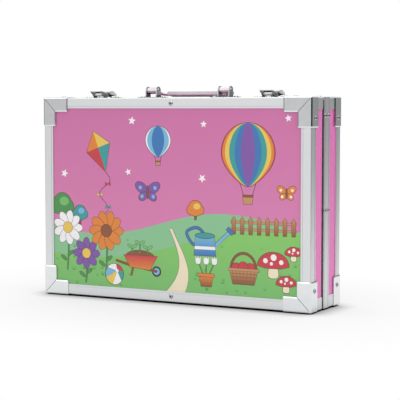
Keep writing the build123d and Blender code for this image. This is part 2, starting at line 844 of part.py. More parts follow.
def handle_pins():
    """The two headed pins that carry the handle."""
    ear_outer = foot_ear_gap / 2 + foot_ear_sheet
    with BuildPart() as pins:
        for centre in (-handle_spacing / 2, handle_spacing / 2):
            with BuildSketch(Plane.YZ.offset(centre)):
                with Locations(over_top(band_middle, handle_pin_height)):
                    Circle(handle_pin_radius)
            extrude(amount=ear_outer, both=True)
            for way in (-1, 1):
                with BuildSketch(Plane.YZ.offset(centre + way * ear_outer)):
                    with Locations(over_top(band_middle, handle_pin_height)):
                        Circle(handle_pin_head_radius)
                extrude(amount=way * handle_pin_head, taper=20)
    return pins


def handle_plane():
    """The handle's own plane at rest, with X along the pins and Y out to the grip."""
    out = Vector(0, cos(handle_arm_turn), -sin(handle_arm_turn))
    origin = Vector(0, *over_top(band_middle, handle_pin_height))
    return Plane(origin=origin, x_dir=(1, 0, 0), z_dir=Vector(1, 0, 0).cross(out))


def handle_bail():
    """The handle's steel rod, bent to a U, with a boss at each end for the pins."""
    plane = handle_plane()
    half = handle_spacing / 2
    boss_length = foot_ear_gap - 2 * handle_boss_play
    with BuildPart() as bail:
        with BuildLine(plane) as route:
            FilletPolyline((-half, 0), (-half, bail_reach), (half, bail_reach), (half, 0), radius=bail_bend)
        start = route.line @ 0
        with BuildSketch(Plane(origin=start, x_dir=(1, 0, 0), z_dir=route.line % 0)):
            Circle(bail_radius)
        sweep(path=route.line)
        for centre in (-half, half):
            with BuildSketch(Plane.YZ.offset(centre)):
                with Locations(over_top(band_middle, handle_pin_height)):
                    Circle(handle_boss_radius)
            extrude(amount=boss_length / 2, both=True)
            with BuildSketch(Plane.YZ.offset(centre)):
                with Locations(over_top(band_middle, handle_pin_height)):
                    Circle(handle_pin_radius + handle_pin_play)
            extrude(amount=boss_length, both=True, mode=Mode.SUBTRACT)
    return bail


def handle_grip():
    """The moulded grip on the middle of the rod."""
    plane = handle_plane()
    middle = plane.from_local_coords((0, bail_reach, 0))
    across = Plane(origin=middle, x_dir=plane.y_dir, z_dir=(1, 0, 0))
    with BuildPart() as grip:
        with BuildSketch(across):
            RectangleRounded(grip_breadth, grip_thickness, grip_edge)
        extrude(amount=grip_length / 2, both=True)
        ends = grip.faces().filter_by(Axis.X)
        fillet(ends.edges(), grip_end_round)
        with BuildSketch(across):
            Circle(bail_radius + grip_play)
        extrude(amount=grip_length, both=True, mode=Mode.SUBTRACT)
    return grip


def save(piece, label):
    """Names one finished piece and writes it."""
    piece.part.label = label
    export_step(piece.part, f"parts/{label}.step")


os.makedirs("parts", exist_ok=True)

for shell in ("front", "rear"):
    save(face_panel(shell), f"{shell}_panel")
    save(corner_posts(shell), f"{shell}_corner_posts")
    save(rivet_group(shell), f"{shell}_rivets")
    save(storage_tray(shell), f"{shell}_tray")
    save(hinge_leaves(shell), f"{shell}_hinge_leaves")
    for side_name in SIDES:
        save(edge_bar(side_name, shell), f"{shell}_edge_{side_name}")
        save(wall_board(side_name, shell), f"{shell}_wall_{side_name}")
    for corner in CORNERS:
        save(corner_bracket(corner, shell), f"{shell}_bracket_{corner}")
for side_name in SIDES:
    save(tongue_bar(side_name), f"front_seam_{side_name}")
    save(band_bar(side_name), f"rear_seam_{side_name}")
save(hinge_pins(), "hinge_pins")
save(latch_pivots(), "latch_pivots")
save(latch_keepers(), "latch_keepers")
save(handle_pins(), "handle_pins")
save(handle_bail(), "handle_bail")
save(handle_grip(), "handle_grip")
for way, hand in ((-1, "left"), (1, "right")):
    save(latch_base(way * latch_spacing / 2), f"latch_base_{hand}")
    save(latch_lever(way * latch_spacing / 2), f"latch_lever_{hand}")
    save(latch_claw(way * latch_spacing / 2), f"latch_claw_{hand}")
    save(handle_foot(way * handle_spacing / 2), f"handle_foot_{hand}")
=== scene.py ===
import math
import random

import bpy
from mathutils import Matrix, Vector
from mathutils.geometry import delaunay_2d_cdt


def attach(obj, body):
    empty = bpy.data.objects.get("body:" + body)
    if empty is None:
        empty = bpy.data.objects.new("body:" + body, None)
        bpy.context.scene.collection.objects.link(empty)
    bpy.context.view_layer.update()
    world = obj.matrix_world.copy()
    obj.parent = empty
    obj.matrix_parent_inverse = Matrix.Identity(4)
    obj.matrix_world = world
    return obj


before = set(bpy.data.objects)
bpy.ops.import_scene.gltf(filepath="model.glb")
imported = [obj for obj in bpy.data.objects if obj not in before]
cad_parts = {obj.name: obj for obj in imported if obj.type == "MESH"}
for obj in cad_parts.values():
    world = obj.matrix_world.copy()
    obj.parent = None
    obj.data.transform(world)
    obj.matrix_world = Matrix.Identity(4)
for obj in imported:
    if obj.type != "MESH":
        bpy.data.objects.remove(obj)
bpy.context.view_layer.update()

# An art case that stands on its hinge side: aluminium extrusions round laminated boards, plated corner
# brackets, latches and a folding handle. The front board carries a printed film.

MM = 0.001

# Places that the pieces added here share with the solids, in millimetres
CASE_WIDTH = 400.0
CASE_DEPTH = 92.0
CASE_HEIGHT = 268.0
FLOOR_GAP = 2.4
BOARD_DEPTH = 1.1
PANEL_EDGE = 5.5
RIVET_HEAD = 6.2

# The mandrels, in millimetres: how deep they start in the rivet, and how far their tops stay below its crown
MANDREL_RADIUS = 0.98
MANDREL_SINK = 0.6
MANDREL_DROP = 0.1
MANDREL_SIDES = 12

# The printed film, in millimetres
FILM_THICKNESS = 0.06
FILM_HALF = CASE_WIDTH / 2 - PANEL_EDGE
FILM_LOW = FLOOR_GAP + PANEL_EDGE
FILM_HIGH = FLOOR_GAP + CASE_HEIGHT - PANEL_EDGE

# Corners of the design that lie closer than this are one
FILM_WELD = 1e-4

# What the triangulation returns: the triangles inside the shapes
INSIDE_SHAPES = 1

# The output of a Mix node that carries a colour, and the one that carries a number
MIXED_COLOUR = 2
MIXED_NUMBER = 0


def linear(code):
    """A hex colour as linear red, green, blue and alpha."""
    values = [int(code[i:i + 2], 16) / 255 for i in (1, 3, 5)]
    return tuple(v / 12.92 if v <= 0.04045 else ((v + 0.055) / 1.055) ** 2.4 for v in values) + (1.0,)


def add(tree, kind, inputs=None, **settings):
    """Adds a node and sets its properties and inputs. A tuple of a node and an output becomes a link."""
    node = tree.nodes.new(kind)
    for name, value in settings.items():
        setattr(node, name, value)
    for name, value in (inputs or {}).items():
        if isinstance(value, tuple) and isinstance(value[0], bpy.types.Node):
            tree.links.new(value[0].outputs[value[1]], node.inputs[name])
        else:
            node.inputs[name].default_value = value
    return node


def lumps(size_mm):
    """The scale at which a noise's lumps are about a given size, in millimetres."""
    return 1.0 / (size_mm * MM)


def new_material(name):
    """A material without nodes, and its node tree."""
    material = bpy.data.materials.new(name)
    material.use_nodes = True
    material.node_tree.nodes.clear()
    return material, material.node_tree


def surface(tree, colour, dull, relief, strength, settings):
    """The shader that ends a material: its colour, its roughness and a relief 0.05 mm deep."""
    bump = add(tree, "ShaderNodeBump", {"Strength": strength, "Distance": 0.05 * MM, "Height": relief})
    shader = add(tree, "ShaderNodeBsdfPrincipled", {
        "Base Color": colour, "Roughness": dull, "Normal": (bump, "Normal"), **settings,
    })
    add(tree, "ShaderNodeOutputMaterial", {"Surface": (shader, "BSDF")})


def lines_along(tree, axis, spacing_mm, stretch_mm):
    """Noise drawn out along one axis into lines a given distance apart."""
    place = add(tree, "ShaderNodeTexCoord")
    scale = [lumps(spacing_mm)] * 3
    scale["XYZ".index(axis)] = lumps(stretch_mm)
    laid = add(tree, "ShaderNodeMapping", {"Vector": (place, "Object"), "Scale": scale})
    return add(tree, "ShaderNodeTexNoise", {
        "Vector": (laid, "Vector"), "Scale": 1.0, "Detail": 3.0, "Roughness": 0.6,
    })


def painted_corner_shade(tree, colour, reach_mm, depth):
    """A colour darkened by painted shade in grooves, gaps and dimples narrower than a reach, where shade
    gathers.
    """
    nook = add(tree, "ShaderNodeAmbientOcclusion", {"Distance": reach_mm * MM}, samples=6)
    dim = add(tree, "ShaderNodeMapRange", {
        "Value": (nook, "AO"), "From Min": 0.15, "From Max": 0.8, "To Min": depth,
    })
    return add(tree, "ShaderNodeMix", {
        "Factor": 1.0, "A": colour, "B": (dim, "Result"),
    }, data_type="RGBA", blend_type="MULTIPLY")


def anodised_aluminium(name, axis, reach_mm, depth):
    """Anodised aluminium, extruded and satin-etched: an even cool silver with fine die lines along it.

    Real die lines are about 0.1 mm apart; they are drawn 0.9 mm apart, so that they show. Handling leaves
    faint clouds 45 mm wide.
    """
    material, tree = new_material(f"{name}_{axis.lower()}")
    lines = lines_along(tree, axis, 0.9, 260)
    place = add(tree, "ShaderNodeTexCoord")
    cloud = add(tree, "ShaderNodeTexNoise", {"Vector": (place, "Object"), "Scale": lumps(45), "Detail": 2.0})
    tone = add(tree, "ShaderNodeMix", {
        "Factor": (lines, "Fac"), "A": linear("#DEE0E2"), "B": linear("#EAEBEC"),
    }, data_type="RGBA")
    handled = add(tree, "ShaderNodeMix", {
        "Factor": (cloud, "Fac"), "A": (tone, MIXED_COLOUR), "B": linear("#E4E6E7"),
    }, data_type="RGBA")
    # Painted shade: the colour darkens in grooves and gaps
    shaded = painted_corner_shade(tree, (handled, MIXED_COLOUR), reach_mm, depth)
    dull = add(tree, "ShaderNodeMapRange", {"Value": (lines, "Fac"), "To Min": 0.34, "To Max": 0.46})
    surface(tree, (shaded, MIXED_COLOUR), (dull, "Result"), (lines, "Fac"), 0.12, {"Metallic": 1.0})
    return material


def clouded_metal(name, low, high, soft, reach_mm, depth, metal=1.0):
    """Plated or plain pressed metal: a mirror as soft as asked, clouded where it was polished and handled.

    The clouds are about 11 mm wide. The grain of the sheet is about 0.1 mm wide; it is drawn at 1.25 mm, so
    that it shows.
    """
    material, tree = new_material(name)
    place = add(tree, "ShaderNodeTexCoord")
    cloud = add(tree, "ShaderNodeTexNoise", {"Vector": (place, "Object"), "Scale": lumps(11), "Detail": 4.0})
    grain = add(tree, "ShaderNodeTexNoise", {
        "Vector": (place, "Object"), "Scale": lumps(1.25), "Detail": 2.0,
    })
    tone = add(tree, "ShaderNodeMix", {
        "Factor": (cloud, "Fac"), "A": linear(low), "B": linear(high),
    }, data_type="RGBA")
    # Painted shade: the colour darkens in corners, gaps and dimples
    shaded = painted_corner_shade(tree, (tone, MIXED_COLOUR), reach_mm, depth)
    dull = add(tree, "ShaderNodeMapRange", {
        "Value": (cloud, "Fac"), "To Min": soft - 0.02, "To Max": soft + 0.04,
    })
    surface(tree, (shaded, MIXED_COLOUR), (dull, "Result"), (grain, "Fac"), 0.08, {"Metallic": metal})
    return material


def laminated_film(name, code, deep):
    """Polypropylene film on hardboard: strong flat colour under a gloss, with an orange peel 8 mm wide.

    The colour drifts a little over the board, in patches 110 mm wide.
    """
    material, tree = new_material(name)
    place = add(tree, "ShaderNodeTexCoord")
    peel = add(tree, "ShaderNodeTexNoise", {"Vector": (place, "Object"), "Scale": lumps(8), "Detail": 1.0})
    shade = add(tree, "ShaderNodeTexNoise", {"Vector": (place, "Object"), "Scale": lumps(110), "Detail": 2.0})
    tone = add(tree, "ShaderNodeMix", {
        "Factor": (shade, "Fac"), "A": linear(deep), "B": linear(code),
    }, data_type="RGBA")
    dull = add(tree, "ShaderNodeMapRange", {"Value": (peel, "Fac"), "To Min": 0.3, "To Max": 0.38})
    surface(tree, (tone, MIXED_COLOUR), (dull, "Result"), (peel, "Fac"), 0.02, {"IOR": 1.49})
    return material


def printed_film():
    """Offset print under a clear polypropylene film: flat inks with a faint dot grain, evenly glossy.

    The screen's dots are 0.2 mm apart; the grain is drawn at 0.8 mm so that it shows.
    """
    material, tree = new_material("printed_film")
    ink = add(tree, "ShaderNodeVertexColor", layer_name="ink")
    place = add(tree, "ShaderNodeTexCoord")
    grain = add(tree, "ShaderNodeTexNoise", {"Vector": (place, "Object"), "Scale": lumps(0.8), "Detail": 1.0})
    peel = add(tree, "ShaderNodeTexNoise", {"Vector": (place, "Object"), "Scale": lumps(8), "Detail": 1.0})
    mottle = add(tree, "ShaderNodeMapRange", {"Value": (grain, "Fac"), "To Min": 0.96, "To Max": 1.03})
    tone = add(tree, "ShaderNodeMix", {
        "Factor": 1.0, "A": (ink, "Color"), "B": (mottle, "Result"),
    }, data_type="RGBA", blend_type="MULTIPLY")
    dull = add(tree, "ShaderNodeMapRange", {"Value": (peel, "Fac"), "To Min": 0.26, "To Max": 0.34})
    surface(tree, (tone, MIXED_COLOUR), (dull, "Result"), (peel, "Fac"), 0.02, {"IOR": 1.49})
    return material


def moulded_plastic(name, code, other, gloss, grain_mm, sheen=0.5):
    """Moulded polystyrene or ABS: even colour with a flow shade 33 mm wide, and a fine moulded grain.

    Real grain is about 0.2 mm wide; it is drawn at 0.6 to 0.8 mm, so that it shows.
    """
    material, tree = new_material(name)
    place = add(tree, "ShaderNodeTexCoord")
    flow = add(tree, "ShaderNodeTexNoise", {"Vector": (place, "Object"), "Scale": lumps(33), "Detail": 2.0})
    grain = add(tree, "ShaderNodeTexNoise", {
        "Vector": (place, "Object"), "Scale": lumps(grain_mm), "Detail": 2.0,
    })
    tone = add(tree, "ShaderNodeMix", {
        "Factor": (flow, "Fac"), "A": linear(other), "B": linear(code),
    }, data_type="RGBA")
    dull = add(tree, "ShaderNodeMapRange", {
        "Value": (grain, "Fac"), "To Min": gloss - 0.04, "To Max": gloss + 0.06,
    })
    surface(tree, (tone, MIXED_COLOUR), (dull, "Result"), (grain, "Fac"), 0.1, {
        "IOR": 1.59, "Specular IOR Level": sheen,
    })
    return material


# Die lines run along each bar, so each direction has its own metal. The front shell's bars along the opening
# lie deep in the gap between the shells, and a painted shade darkens them nearly to black there.
EXTRUSION = {axis: anodised_aluminium("anodised_aluminium", axis, 1.6, 0.35) for axis in "XYZ"}
TONGUE = {axis: anodised_aluminium("anodised_tongue", axis, 7.0, 0.02) for axis in "XZ"}

# Nickel plate on folded steel: a pale, nearly clear mirror
BRACKET = clouded_metal("nickel_plated_bracket", "#DEE1E3", "#EAECED", 0.14, 1.6, 0.08)

# Nickel plate on small stampings, painted darker than the brackets' as shade and reflections they throw on
# each other
FITTING = clouded_metal("nickel_plated_fitting", "#A9ACAE", "#C9CBCC", 0.16, 7.0, 0.06)

# Satin nickel on the bent wire: a pale sheen, tinted slightly pink as a painted reflection of the pink boards
SATIN = clouded_metal("satin_nickel", "#CDC9CB", "#DEDADC", 0.36, 7.0, 0.06)

# Zinc plate: pale, faintly green and half dull
CLAW = clouded_metal("zinc_plated_claw", "#D4D6D0", "#E6E8E2", 0.5, 5.0, 0.06, metal=0.6)

# Rolled aluminium domes: a grey mirror that shows the room small and hard, painted darker than the bars as
# shade
RIVET = clouded_metal("aluminium_rivet", "#A2A4A7", "#BDBFC1", 0.14, 1.2, 0.1)

# The broken mandrel's steel, coloured nearly black as painted shade deep in the rivet's dimple
MANDREL = clouded_metal("mandrel_painted_shade", "#0E0E10", "#1C1C1E", 0.5, 1.2, 0.3)

# Pink film on the boards of the sides and the back, and the printed one on the front
SIDE_FILM = laminated_film("pink_film", "#D36FAE", "#C964A3")
PRINT = printed_film()

# White polystyrene sheet, formed warm over a mould: a soft gloss
TRAY = moulded_plastic("white_polystyrene", "#F0F0F0", "#E6E7E8", 0.28, 0.6)

# Grey ABS from a spark-eroded mould: nearly matt
GRIP = moulded_plastic("grey_abs", "#DADDDC", "#CED1D0", 0.6, 0.8, sheen=0.2)


def material_of(name):
    """The material of a solid, by its name."""
    if "_edge_" in name or "_seam_" in name:
        bars = TONGUE if name.startswith("front_seam") else EXTRUSION
        return bars["X" if name.endswith(("top", "bottom")) else "Z"]
    for part, material in (
        ("_tray", TRAY), ("_rivets", RIVET), ("_bracket_", BRACKET),
        ("_panel", SIDE_FILM), ("_wall_", SIDE_FILM), ("_posts", EXTRUSION["Y"]),
        ("handle_grip", GRIP), ("handle_bail", SATIN), ("_claw_", CLAW),
    ):
        if part in name:
            return material
    return FITTING


for node_name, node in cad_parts.items():
    for slot in node.material_slots:
        slot.material = material_of(node_name)


def mesh_piece(name, verts, faces, material, body, rounded=True):
    """A mesh in millimetres as a piece that rides on a body."""
    mesh = bpy.data.meshes.new(name)
    mesh.from_pydata([tuple(c * MM for c in v) for v in verts], [], faces)
    mesh.materials.append(material)
    mesh.validate()
    mesh.update()
    piece = bpy.data.objects.new(name, mesh)
    bpy.context.scene.collection.objects.link(piece)
    for face in mesh.polygons:
        face.use_smooth = rounded
    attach(piece, body)
    return piece


def islands(mesh):
    """The groups of vertices of a mesh that edges join."""
    parent = list(range(len(mesh.vertices)))

    def root(i):
        while parent[i] != i:
            parent[i] = parent[parent[i]]
            i = parent[i]
        return i

    for edge in mesh.edges:
        a, b = (root(i) for i in edge.vertices)
        parent[a] = b
    groups = {}
    for i in range(len(mesh.vertices)):
        groups.setdefault(root(i), []).append(i)
    return list(groups.values())


def rivet_mandrels(shell):
    """The broken mandrel in the dimple of each blind rivet, as low domes, coloured nearly black as painted
    shade.
    """
    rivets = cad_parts[f"{shell}_rivets"].data
    middle = Vector((0, 0, FLOOR_GAP + CASE_HEIGHT / 2))
    # The radius of each ring of the dome, and its height over the rivet's crown
    rings = (
        (MANDREL_RADIUS, -MANDREL_SINK),
        (MANDREL_RADIUS, -1.4 * MANDREL_DROP),
        (0.6 * MANDREL_RADIUS, -MANDREL_DROP),
    )
    verts, faces = [], []
    for group in islands(rivets):
        points = [rivets.vertices[i].co / MM for i in group]
        low = [min(p[k] for p in points) for k in range(3)]
        high = [max(p[k] for p in points) for k in range(3)]
        axis = max(range(3), key=lambda k: abs(high[k] - low[k] - RIVET_HEAD))
        centre = Vector([(a + b) / 2 for a, b in zip(low, high)])
        way = 1 if centre[axis] > middle[axis] else -1
        outer = high[axis] if way > 0 else low[axis]
        across = [k for k in range(3) if k != axis]
        first = len(verts)
        for radius, rise in rings:
            for step in range(MANDREL_SIDES):
                turn = math.tau * step / MANDREL_SIDES
                point = [0.0, 0.0, 0.0]
                point[axis] = outer + way * rise
                point[across[0]] = centre[across[0]] + radius * math.cos(turn)
                point[across[1]] = centre[across[1]] + radius * math.sin(turn)
                verts.append(point)
        last = len(verts) - MANDREL_SIDES
        for ring in range(first, last, MANDREL_SIDES):
            for step in range(MANDREL_SIDES):
                a = ring + step
                b = ring + (step + 1) % MANDREL_SIDES
                faces.append((a, b, b + MANDREL_SIDES, a + MANDREL_SIDES))
        faces.append(tuple(reversed(range(first, first + MANDREL_SIDES))))
        faces.append(tuple(range(last, last + MANDREL_SIDES)))
    mesh_piece(f"{shell}_rivet_mandrels", verts, faces, MANDREL, f"{shell}_case")


for shell_name in ("front", "rear"):
    rivet_mandrels(shell_name)


# The printed design: flat shapes in millimetres across (X) and up (Z), each drawn over those before it
PINK = "#CE74A7"
PINK_LIGHT = "#DB86B4"
OUTLINE = "#4B2C33"
WHITE = "#F4F1F2"
GREEN = "#78BB6E"
GREEN_DEEP = "#4F9350"
GREEN_BLUE = "#8AC292"
GREEN_PALE = "#86C866"
ORANGE = "#E0863A"
YELLOW = "#E9C65A"
RED = "#C8414A"
BLUE = "#3F78B5"
SKY = "#79B7D8"
TEAL = "#3E9C9B"
PURPLE = "#8259A5"
BROWN = "#8B5638"
TAN = "#C49264"
CREAM = "#EFE2C4"

# Widths of the dark line round a shape
BOLD = 0.7
FIRM = 0.6
LINE = 0.5
THIN = 0.45
FINE = 0.4

drawing = []


def facing(points):
    """The signed area of a closed outline, twice over: above zero where it runs anticlockwise."""
    return sum(a[0] * b[1] - b[0] * a[1] for a, b in zip(points, points[1:] + points[:1]))


def grown(points, distance):
    """A closed outline moved outwards by a distance along its corners' normals."""
    way = 1 if facing(points) > 0 else -1
    moved = []
    for before, here, after in zip(points[-1:] + points[:-1], points, points[1:] + points[:1]):
        ax, ay = here[0] - before[0], here[1] - before[1]
        bx, by = after[0] - here[0], after[1] - here[1]
        la, lb = math.hypot(ax, ay) or 1.0, math.hypot(bx, by) or 1.0
        nx, ny = way * (ay / la + by / lb), -way * (ax / la + bx / lb)
        length = math.hypot(nx, ny)
        # At a corner that turns nearly back, the normal of the side before it
        if length < 0.4:
            nx, ny, length = way * ay / la, -way * ax / la, 1.0
        moved.append((here[0] + distance * nx / length, here[1] + distance * ny / length))
    return moved


def fill(points, colour, fade=None):
    """Adds a shape without an outline; fade is a second colour at the shape's foot."""
    drawing.append((points, colour, fade))


def paint(points, colour, outline=BOLD, fade=None):
    """Adds a shape with a dark outline round it."""
    fill(grown(points, outline), OUTLINE)
    fill(points, colour, fade)


def oval(x, z, rx, rz=None, turn=0.0, count=28):
    """Points round an ellipse."""
    rz = rx if rz is None else rz
    c, s = math.cos(turn), math.sin(turn)
    found = []
    for i in range(count):
        t = math.tau * i / count
        a, b = rx * math.cos(t), rz * math.sin(t)
        found.append((x + a * c - b * s, z + a * s + b * c))
    return found


def arch(x, z, rx, rz, count):
    """Points over the upper half of an ellipse, from right to left."""
    turns = [math.pi * i / count for i in range(count + 1)]
    return [(x + rx * math.cos(t), z + rz * math.sin(t)) for t in turns]


def tapered(x, low, high, foot, head):
    """A shape with a level foot and head, each of its own half width."""
    return [(x - foot, low), (x + foot, low), (x + head, high), (x - head, high)]


def smooth(points):
    """A closed smooth curve through points, with six steps between each two."""
    steps = 6
    found = []
    count = len(points)
    for i in range(count):
        near = [points[(i + k) % count] for k in (-1, 0, 1, 2)]
        for j in range(steps):
            t = j / steps
            weights = (
                -t + 2 * t * t - t ** 3,
                2 - 5 * t * t + 3 * t ** 3,
                t + 4 * t * t - 3 * t ** 3,
                -t * t + t ** 3,
            )
            found.append(tuple(sum(w * p[k] for w, p in zip(weights, near)) / 2 for k in (0, 1)))
    return found


def ribbon(points, width):
    """A band of even width along an open line."""
    left, right = [], []
    for i, here in enumerate(points):
        a = points[max(i - 1, 0)]
        b = points[min(i + 1, len(points) - 1)]
        dx, dz = b[0] - a[0], b[1] - a[1]
        length = math.hypot(dx, dz) or 1.0
        off = (-dz / length * width / 2, dx / length * width / 2)
        left.append((here[0] + off[0], here[1] + off[1]))
        right.append((here[0] - off[0], here[1] - off[1]))
    return left + right[::-1]


def wave(x0, z0, x1, z1, size, turns):
    """Points of an open wavy line between two places, in thirty steps."""
    steps = 30
    length = math.hypot(x1 - x0, z1 - z0)
    nx, nz = -(z1 - z0) / length, (x1 - x0) / length
    found = []
    for i in range(steps + 1):
        t = i / steps
        off = size * math.sin(math.tau * turns * t)
        found.append((x0 + (x1 - x0) * t + nx * off, z0 + (z1 - z0) * t + nz * off))
    return found


def ground():
    """Sky and hills."""
    fill([
        (-FILM_HALF, FILM_LOW), (FILM_HALF, FILM_LOW), (FILM_HALF, FILM_HIGH), (-FILM_HALF, FILM_HIGH),
    ], PINK, PINK_LIGHT)
    far = [(x, 104 + 17 * math.sin((x + 20) / 62)) for x in range(-190, 191, 10)]
    near = [(x, 78 + 23 * math.cos((x - 150) / 88)) for x in range(-190, 191, 10)]
    for ridge, colour, foot in ((far, GREEN_BLUE, GREEN_BLUE), (near, GREEN_PALE, GREEN)):
        ridge[0], ridge[-1] = (-FILM_HALF, ridge[0][1]), (FILM_HALF, ridge[-1][1])
        fill([(-FILM_HALF, FILM_LOW), *ridge, (FILM_HALF, FILM_LOW)][::-1], colour, foot)


def path_way():
    """A winding path."""
    left, right = [], []
    steps = 24
    for i in range(steps + 1):
        t = i / steps
        z = max(99 - 92 * t, FILM_LOW + 0.2)
        x = -6 + 34 * math.sin(2.6 * t + 0.4) * (0.4 + 0.6 * t)
        wide = 2.0 + 15.0 * t * t
        left.append((x - wide, z))
        right.append((x + wide, z))
    paint(left + right[::-1], CREAM, LINE)


def balloon(x, z, radius, colours):
    """A hot-air balloon in gores of several colours, from the sides to the middle, with its basket."""
    foot = z - 1.55 * radius
    for side in (-1, 1):
        line = [
            (x + side * 0.34 * radius, z - 0.9 * radius),
            (x + side * 0.16 * radius, foot + 0.12 * radius),
        ]
        fill(ribbon(line, 0.8), OUTLINE)
    outline = []
    count = 40
    for i in range(count):
        t = math.tau * i / count
        a, b = radius * math.sin(t), radius * math.cos(t)
        pinch = 1.0 if b > 0 else 1.0 - 0.42 * (b / radius) ** 2
        outline.append((x + a * pinch, z + b * (1.0 if b > 0 else 1.12)))
    paint(outline, colours[0])
    for index in range(1, len(colours)):
        share = math.sin(math.pi / 2 * (1 - index / len(colours)))
        fill([(x + (px - x) * share, pz) for px, pz in outline], colours[index])
    paint(tapered(x, foot - 0.16 * radius, foot + 0.14 * radius, 0.16 * radius, 0.2 * radius), TAN)
    fill(tapered(x, foot + 0.06 * radius, foot + 0.14 * radius, 0.2 * radius, 0.21 * radius), BROWN)


def kite(x, z, size, turn):
    """A four-coloured kite with a tail of bows."""
    c, s = math.cos(turn), math.sin(turn)

    def at(a, b):
        return (x + size * (a * c - b * s), z + size * (a * s + b * c))

    top, low, left, right, core = at(0, 1), at(0, -1.15), at(-0.72, 0.15), at(0.72, 0.15), at(0, 0.15)
    tail = wave(*low, *at(-0.9, -3.1), 0.28 * size, 1.5)
    fill(ribbon(tail, 0.8), OUTLINE)
    for place, colour in ((8, RED), (16, YELLOW), (24, TEAL)):
        px, pz = tail[place]
        for side in (-1, 1):
            paint([(px, pz), (px + side * 4.2, pz + 2.6), (px + side * 4.2, pz - 2.6)], colour, THIN)
    paint([top, left, low, right], ORANGE)
    fill([top, core, right], YELLOW)
    fill([core, left, low], RED)
    fill([core, low, right], TEAL)


def flower(x, z, height, radius, petals, colour, heart):
    """A tall flower with a stem and two leaves."""
    stem = [(x + 2.2 * math.sin(t / 3), z + height * t / 8) for t in range(9)]
    paint(ribbon(stem, 1.9), GREEN_DEEP, THIN)
    for side in (-1, 1):
        leaf = oval(x + side * 5.6, z + height * (0.34 + 0.06 * side), 5.6, 2.3, side * 0.6, 18)
        paint(leaf, GREEN_DEEP, THIN)
    cx, cz = stem[-1]
    for i in range(petals):
        turn = math.tau * i / petals
        px, pz = cx + 0.62 * radius * math.cos(turn), cz + 0.62 * radius * math.sin(turn)
        paint(oval(px, pz, 0.46 * radius, 0.27 * radius, turn, 16), colour, LINE)
    paint(oval(cx, cz, 0.34 * radius, count=20), heart, LINE)


def mushroom(x, z, size):
    """A round-capped mushroom with spots."""
    paint(smooth(tapered(x, z, z + 0.7 * size, 0.3 * size, 0.2 * size)), CREAM)
    cap = arch(x, z + 0.62 * size, size, 0.8 * size, 14)
    cap += [(x - 0.5 * size, z + 0.5 * size), (x + 0.5 * size, z + 0.5 * size)]
    paint(cap, RED)
    for a, b, r in ((-0.5, 0.92, 0.15), (0.02, 1.12, 0.19), (0.5, 0.86, 0.14), (-0.12, 0.76, 0.1)):
        fill(oval(x + a * size, z + b * size, r * size, count=14), WHITE)


def tree(x, z, height, crown, colour, light):
    """A round tree: the puffs of its crown share one outline."""
    paint(ribbon([(x, z), (x + 0.5, z + 0.5 * height), (x, z + height)], 3.0), BROWN, LINE)
    puffs = [
        oval(x + a * crown, z + height + b * crown, r * crown)
        for a, b, r in ((0, 0, 1.0), (-0.62, -0.25, 0.62), (0.64, -0.2, 0.6))
    ]
    for puff in puffs:
        fill(grown(puff, BOLD), OUTLINE)
    for puff in puffs:
        fill(puff, colour)
    fill(oval(x + 0.2 * crown, z + height + 0.25 * crown, 0.5 * crown, 0.4 * crown), light)


def watering_can(x, z):
    """A round watering can with its spout and handle."""
    handle = smooth([(x - 15, z + 13), (x - 27, z + 29), (x - 12, z + 36), (x - 2, z + 27)])[:19]
    paint(ribbon(handle, 3.2), BLUE, FIRM)
    paint([(x + 12, z + 8), (x + 15, z + 16), (x + 35, z + 34), (x + 38, z + 31)], SKY)
    paint([(x + 31, z + 35), (x + 39, z + 28), (x + 42.5, z + 31.5), (x + 34.5, z + 38.5)], BLUE)
    paint(tapered(x, z, z + 26, 16, 14), SKY, fade=BLUE)
    fill(tapered(x, z + 8, z + 12, 15.4, 15.1), WHITE)
    paint(oval(x, z + 26, 14, 3.4), TEAL)


def flower_pot(x, z, size, colour):
    """A clay pot with three tulips."""
    for a, lean in ((-0.45, -0.35), (0.0, 0.0), (0.45, 0.35)):
        px, pz = x + (a + lean) * size, z + 2.1 * size
        paint(ribbon([(x + a * 0.6 * size, z + size), (px, pz)], 1.3), GREEN_DEEP, FINE)
        w, h = 0.26 * size, 0.5 * size
        bloom = [
            (px - w, pz), (px - 0.6 * w, pz - 0.7 * w), (px + 0.6 * w, pz - 0.7 * w), (px + w, pz),
            (px + w, pz + h), (px + 0.5 * w, pz + 0.6 * h), (px, pz + h), (px - 0.5 * w, pz + 0.6 * h),
            (px - w, pz + h),
        ]
        paint(bloom, colour, LINE)
    paint(tapered(x, z, z + 0.9 * size, 0.5 * size, 0.68 * size), ORANGE, fade=BROWN)
    paint(tapered(x, z + 0.85 * size, z + 1.12 * size, 0.78 * size, 0.78 * size), ORANGE)


def butterfly(x, z, size, wing, spot):
    """A butterfly with spread wings."""
    for side in (-1, 1):
        for a, b, rx, rz, turn in ((0.75, 0.45, 0.78, 0.5, 0.6), (0.55, -0.45, 0.55, 0.4, -0.6)):
            high = z + b * size
            paint(oval(x + side * a * size, high, rx * size, rz * size, side * turn, 20), wing, LINE)
            fill(oval(x + side * (a + 0.12) * size, high, 0.2 * size, count=12), spot)
    paint(oval(x, z, 0.12 * size, 0.7 * size, count=14), BROWN, FINE)


def picket_fence(x, z, count, pitch):
    """A run of pointed pickets on two rails."""
    half = (count - 1) * pitch / 2
    for rise in (5.0, 14.0):
        paint(tapered(x + half, z + rise, z + rise + 3, half + 4, half + 4), TAN, LINE)
    for i in range(count):
        a = x + i * pitch
        picket = [(a - 2.6, z), (a + 2.6, z), (a + 2.6, z + 19), (a, z + 23), (a - 2.6, z + 19)]
        paint(picket, TAN, LINE, BROWN)


